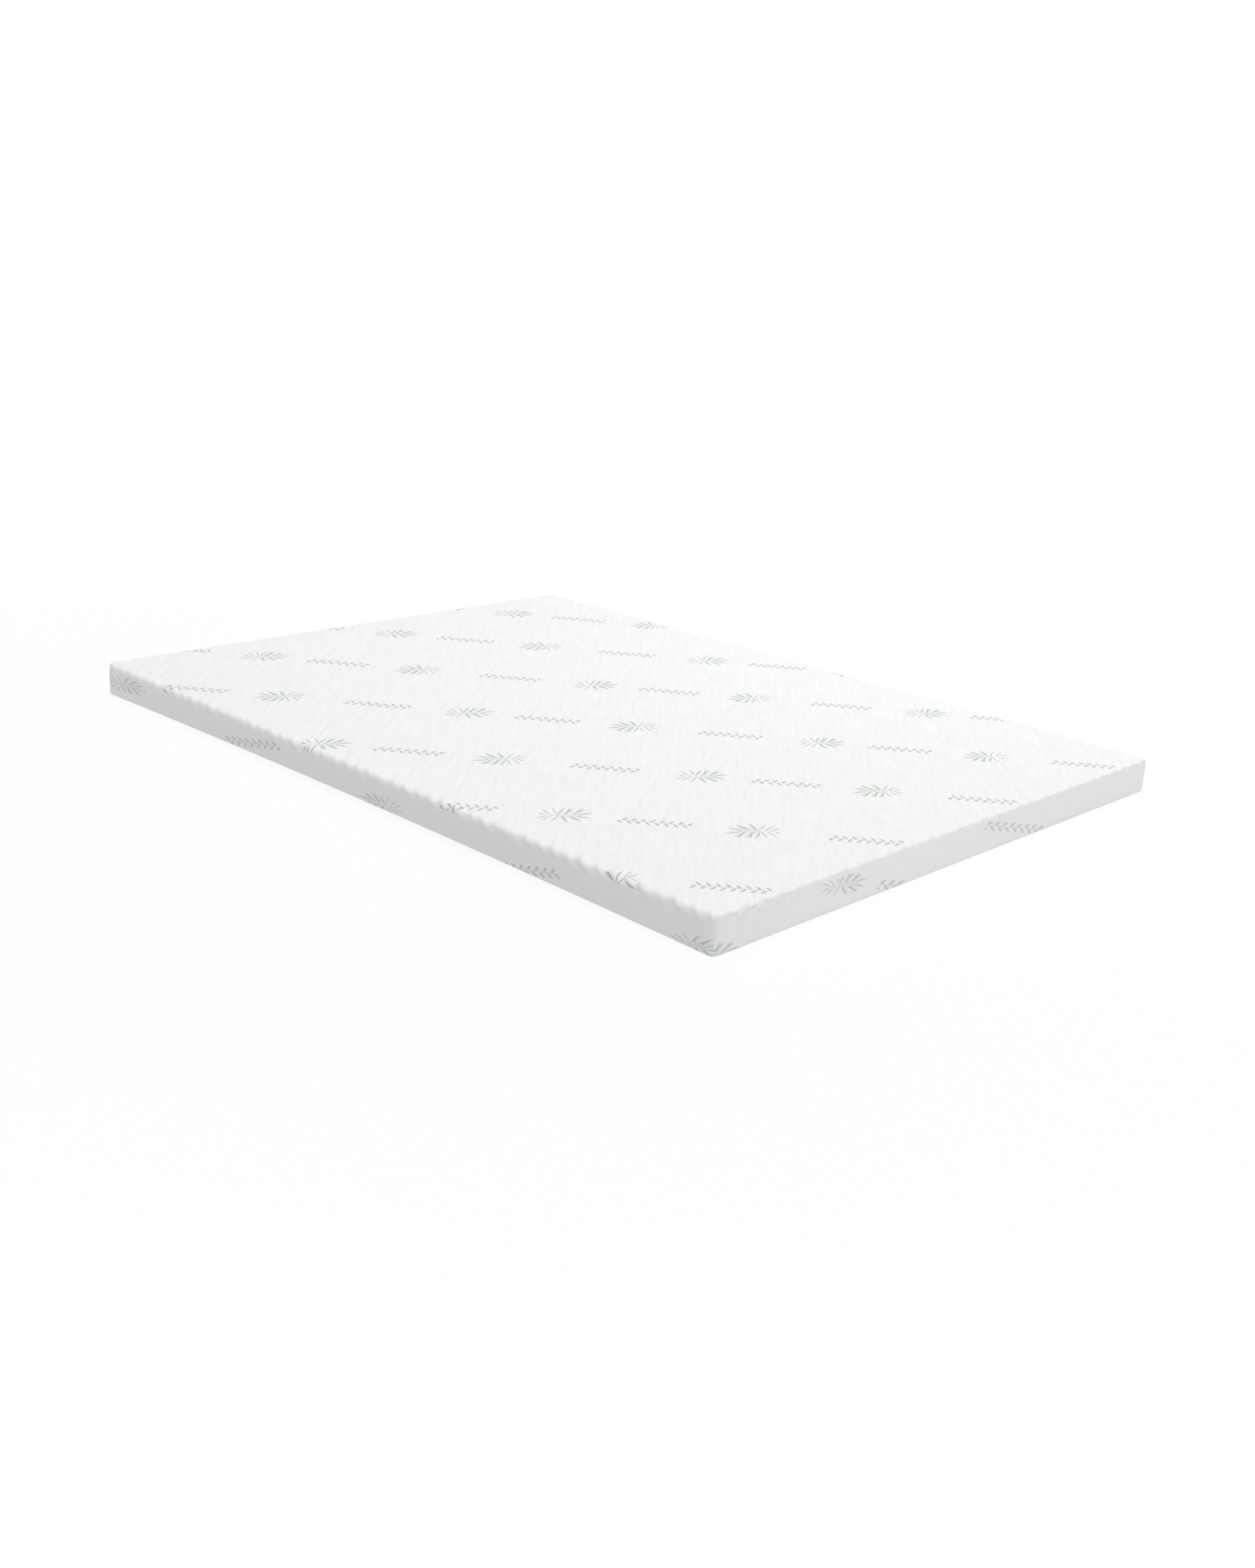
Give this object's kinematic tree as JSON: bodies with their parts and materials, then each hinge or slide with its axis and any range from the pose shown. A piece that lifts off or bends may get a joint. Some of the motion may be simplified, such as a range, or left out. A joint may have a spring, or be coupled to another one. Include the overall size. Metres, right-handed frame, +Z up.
{
  "type": "memory foam mattress",
  "caption": "Thin flat memory foam mattress: a foam core in a white knitted, leaf-printed cover that zips off at one end, for lying on a bed base, mattress or floor.",
  "frame": {"origin": "middle of the underside", "axes": "+X across the mattress, +Y along it towards the zipped end, +Z up"},
  "size_m": [1.53, 2.0372, 0.08],
  "materials": {
    "cover_knit": "matte",
    "underside_knit": "matte",
    "liner_knit": "matte",
    "memory_foam": "matte",
    "base_foam": "matte",
    "zip_tape": "matte",
    "zip_coil": "satin",
    "zip_metal": "satin"
  },
  "bodies": {
    "mattress": {"base_foam": "base_foam", "memory_foam": "memory_foam", "inner_liner": "liner_knit", "cover_top": "cover_knit", "cover_bottom": "underside_knit", "border_left": "cover_knit", "border_right": "cover_knit", "border_front": "cover_knit", "zip_panel_upper": "cover_knit", "zip_panel_lower": "cover_knit", "zip_tape_upper": "zip_tape", "zip_tape_lower": "zip_tape", "zip_coil_upper": "zip_coil", "zip_coil_lower": "zip_coil", "zip_top_stops": "zip_metal", "zip_bottom_stop": "zip_metal"},
    "slider": {"zip_slider": "zip_metal"},
    "pull": {"zip_pull": "zip_metal"}
  },
  "joints": [
    {"name": "zip_slide", "type": "slide", "parent": "mattress", "child": "slider", "axis": [-1, 0, 0], "range_m": [0, 1.3724]},
    {"name": "pull_swing", "type": "hinge", "parent": "slider", "child": "pull", "pos_m": [0.6862, 1.01995, 0.0341], "axis": [1, 0, 0], "range_deg": [-8, 172]}
  ]
}
